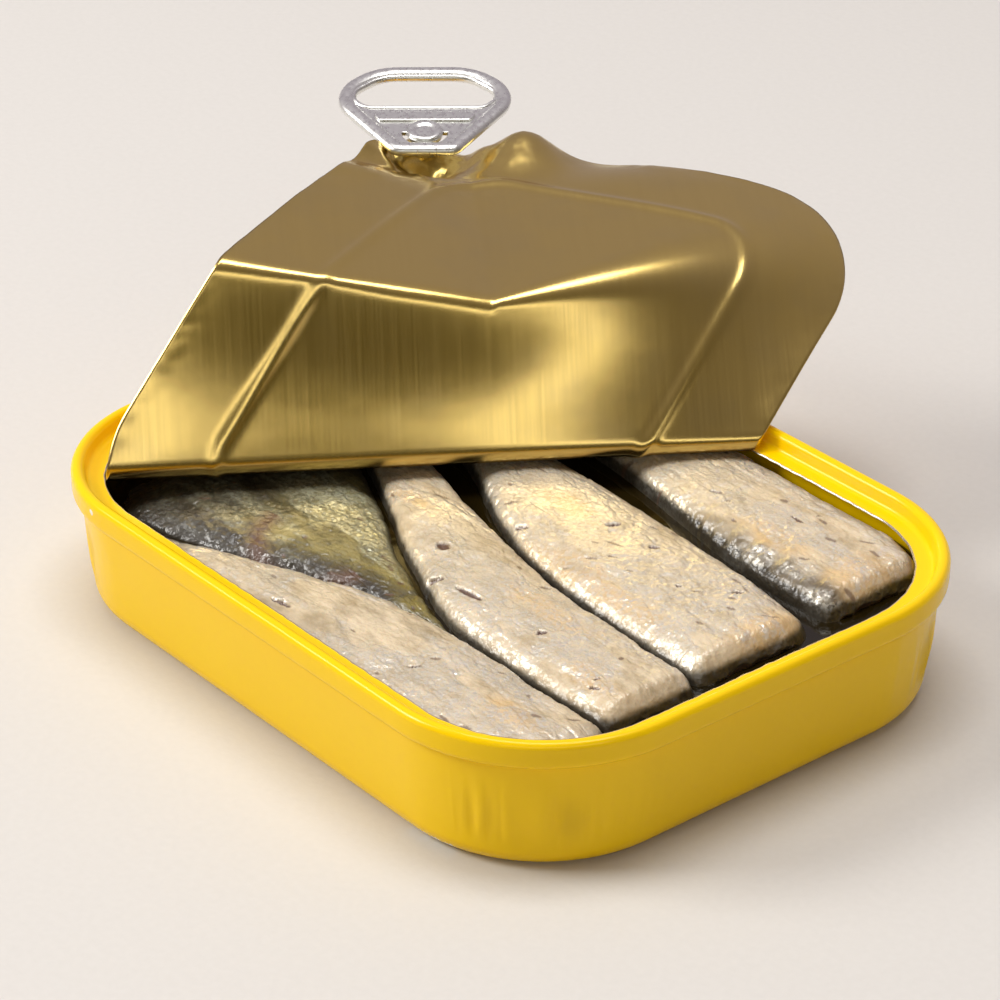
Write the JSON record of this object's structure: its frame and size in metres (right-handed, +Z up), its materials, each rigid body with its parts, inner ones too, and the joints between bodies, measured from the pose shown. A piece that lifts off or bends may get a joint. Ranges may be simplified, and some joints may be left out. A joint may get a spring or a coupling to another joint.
{
  "type": "opened sardine tin",
  "caption": "Low rounded-rectangle fish can with its lid peeled back diagonally, a ring pull tab on the lid's corner, and whole small fish lying side by side in oil.",
  "frame": {"origin": "middle of the can's standing ring, on the ground plane", "axes": "+Z up; X along the can's long side, +X towards the end where the fish are cut; -Y is the front long side, and the lid was peeled from the (+X, -Y) corner"},
  "size_m": [0.1241, 0.1052, 0.046],
  "materials": {
    "yellow_paint": "glossy paint",
    "gold_lacquer": "clear gold lacquer over brushed sheet",
    "bare_metal": "bright, pressed",
    "pale_fish": "wet, skinned and silvery",
    "dark_fish": "wet scaly skin",
    "oil": "clear oil"
  },
  "bodies": {
    "root": {"tin_body": "yellow_paint", "end_ring": "yellow_paint", "lid": "gold_lacquer", "pull_tab": "bare_metal", "sardine_1": "pale_fish", "sardine_2": "dark_fish", "sardine_3": "pale_fish", "sardine_4": "pale_fish", "sardine_5": "pale_fish", "oil": "oil"}
  },
  "joints": []
}
